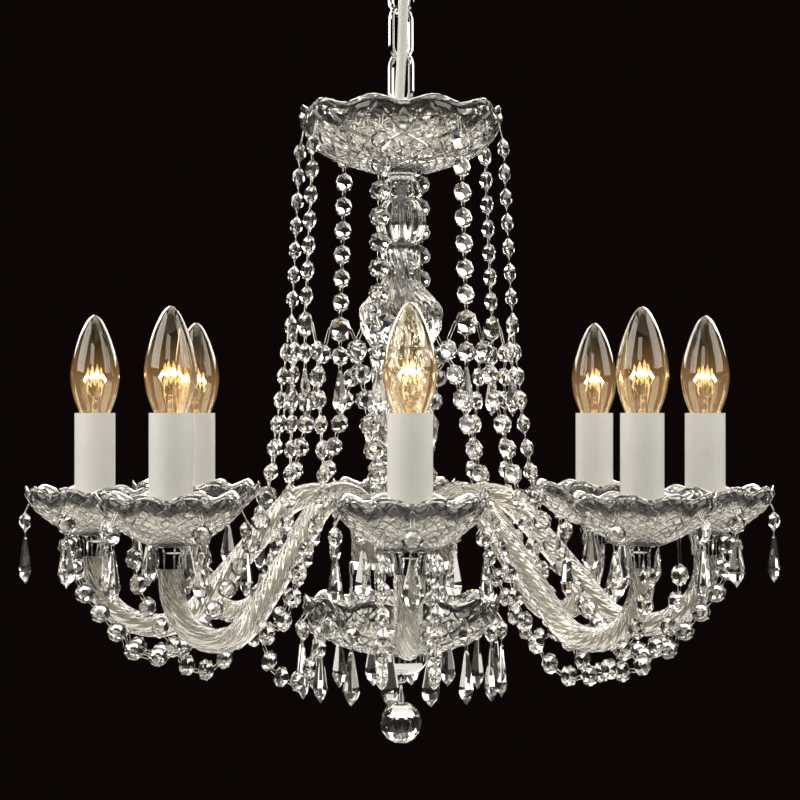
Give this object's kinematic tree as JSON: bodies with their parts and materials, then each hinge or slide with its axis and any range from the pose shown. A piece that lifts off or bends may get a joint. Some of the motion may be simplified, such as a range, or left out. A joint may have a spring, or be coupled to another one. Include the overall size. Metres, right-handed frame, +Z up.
{
  "type": "crystal chandelier",
  "caption": "Glass chandelier on a chain, with twisted arms, candle lamps, scalloped dishes and hanging strings of cut-glass beads and drops.",
  "frame": {"origin": "middle of the ceiling plate's back face, on the ceiling", "axes": "+Z up into the ceiling; -Y towards the front arm; +X to the right seen from the front"},
  "size_m": [0.5434, 0.5434, 0.601],
  "materials": {
    "plate_steel": "satin",
    "chrome_metal": "polished",
    "rod_steel": "satin",
    "pin_wire": "polished",
    "block_plastic": "gloss",
    "cable_sheath": "satin",
    "wire_sheath": "satin",
    "washer_plastic": "satin",
    "candle_plastic": "satin",
    "dish_glass": "gloss",
    "stem_glass": "gloss",
    "arm_glass": "gloss",
    "bead_glass": "gloss",
    "lamp_glass": "gloss"
  },
  "bodies": {
    "ceiling_fitting": {"ceiling_plate": "plate_steel", "ceiling_hook": "chrome_metal", "terminal_block": "block_plastic"},
    "rose": {"ceiling_rose": "chrome_metal"},
    "link_1": {"chain_link_1": "chrome_metal"},
    "link_2": {"chain_link_2": "chrome_metal"},
    "link_3": {"chain_link_3": "chrome_metal"},
    "chandelier": {"top_loop": "chrome_metal", "top_cap": "chrome_metal", "bottom_cap": "chrome_metal", "arm_cups": "chrome_metal", "arm_ferrules": "chrome_metal", "hub_lid": "chrome_metal", "hub_drum": "chrome_metal", "dish_collar": "chrome_metal", "centre_rod": "rod_steel", "base_nut": "rod_steel", "trim_pins": "pin_wire", "lampholders": "block_plastic", "supply_cable": "cable_sheath", "arm_wires": "wire_sheath", "stem_washers": "washer_plastic", "candle_sleeves": "candle_plastic", "top_dish": "dish_glass", "lower_dish": "dish_glass", "drip_dish_1": "dish_glass", "drip_dish_2": "dish_glass", "drip_dish_3": "dish_glass", "drip_dish_4": "dish_glass", "drip_dish_5": "dish_glass", "drip_dish_6": "dish_glass", "drip_dish_7": "dish_glass", "drip_dish_8": "dish_glass", "stem_tulip": "stem_glass", "stem_melon": "stem_glass", "stem_bottle": "stem_glass", "stem_bell": "stem_glass", "stem_foot": "stem_glass", "arm_1": "arm_glass", "arm_2": "arm_glass", "arm_3": "arm_glass", "arm_4": "arm_glass", "arm_5": "arm_glass", "arm_6": "arm_glass", "arm_7": "arm_glass", "arm_8": "arm_glass", "strand_beads": "bead_glass", "swag_beads": "bead_glass", "pendant_drops": "bead_glass"},
    "finial": {"finial_ring": "chrome_metal", "finial_ball": "bead_glass"},
    "bulb_1": {"bulb_1": "lamp_glass"},
    "bulb_2": {"bulb_2": "lamp_glass"},
    "bulb_3": {"bulb_3": "lamp_glass"},
    "bulb_4": {"bulb_4": "lamp_glass"},
    "bulb_5": {"bulb_5": "lamp_glass"},
    "bulb_6": {"bulb_6": "lamp_glass"},
    "bulb_7": {"bulb_7": "lamp_glass"},
    "bulb_8": {"bulb_8": "lamp_glass"}
  },
  "joints": [
    {"name": "rose_slide", "type": "slide", "parent": "ceiling_fitting", "child": "rose", "axis": [0, 0, -1], "range_m": [0, 0.025]},
    {"name": "hook_swing", "type": "hinge", "parent": "ceiling_fitting", "child": "link_1", "pos_m": [0, 0, -0.048], "axis": [0.7071, 0.7071, 0], "range_deg": [-8, 8], "deforming": ["supply_cable"]},
    {"name": "link_1_swing", "type": "hinge", "parent": "link_1", "child": "link_2", "pos_m": [0, 0, -0.0802], "axis": [0.7071, -0.7071, 0], "range_deg": [-15, 15], "deforming": ["supply_cable"]},
    {"name": "link_2_swing", "type": "hinge", "parent": "link_2", "child": "link_3", "pos_m": [0, 0, -0.1128], "axis": [0.7071, 0.7071, 0], "range_deg": [-15, 15], "deforming": ["supply_cable"]},
    {"name": "loop_swing", "type": "hinge", "parent": "link_3", "child": "chandelier", "pos_m": [0, 0, -0.1454], "axis": [0.7071, -0.7071, 0], "range_deg": [-15, 15], "deforming": ["supply_cable"]},
    {"name": "ball_swing", "type": "hinge", "parent": "chandelier", "child": "finial", "pos_m": [0, 0, -0.5572], "axis": [1, 0, 0], "range_deg": [-20, 20]},
    {"name": "bulb_1_turn", "type": "hinge", "parent": "chandelier", "child": "bulb_1", "pos_m": [0, -0.218, -0.365], "axis": [0, 0, 1], "range_deg": [0, 1440]},
    {"name": "bulb_2_turn", "type": "hinge", "parent": "chandelier", "child": "bulb_2", "pos_m": [0.15415, -0.15415, -0.365], "axis": [0, 0, 1], "range_deg": [0, 1440]},
    {"name": "bulb_3_turn", "type": "hinge", "parent": "chandelier", "child": "bulb_3", "pos_m": [0.218, 0, -0.365], "axis": [0, 0, 1], "range_deg": [0, 1440]},
    {"name": "bulb_4_turn", "type": "hinge", "parent": "chandelier", "child": "bulb_4", "pos_m": [0.15415, 0.15415, -0.365], "axis": [0, 0, 1], "range_deg": [0, 1440]},
    {"name": "bulb_5_turn", "type": "hinge", "parent": "chandelier", "child": "bulb_5", "pos_m": [0, 0.218, -0.365], "axis": [0, 0, 1], "range_deg": [0, 1440]},
    {"name": "bulb_6_turn", "type": "hinge", "parent": "chandelier", "child": "bulb_6", "pos_m": [-0.15415, 0.15415, -0.365], "axis": [0, 0, 1], "range_deg": [0, 1440]},
    {"name": "bulb_7_turn", "type": "hinge", "parent": "chandelier", "child": "bulb_7", "pos_m": [-0.218, 0, -0.365], "axis": [0, 0, 1], "range_deg": [0, 1440]},
    {"name": "bulb_8_turn", "type": "hinge", "parent": "chandelier", "child": "bulb_8", "pos_m": [-0.15415, -0.15415, -0.365], "axis": [0, 0, 1], "range_deg": [0, 1440]}
  ]
}
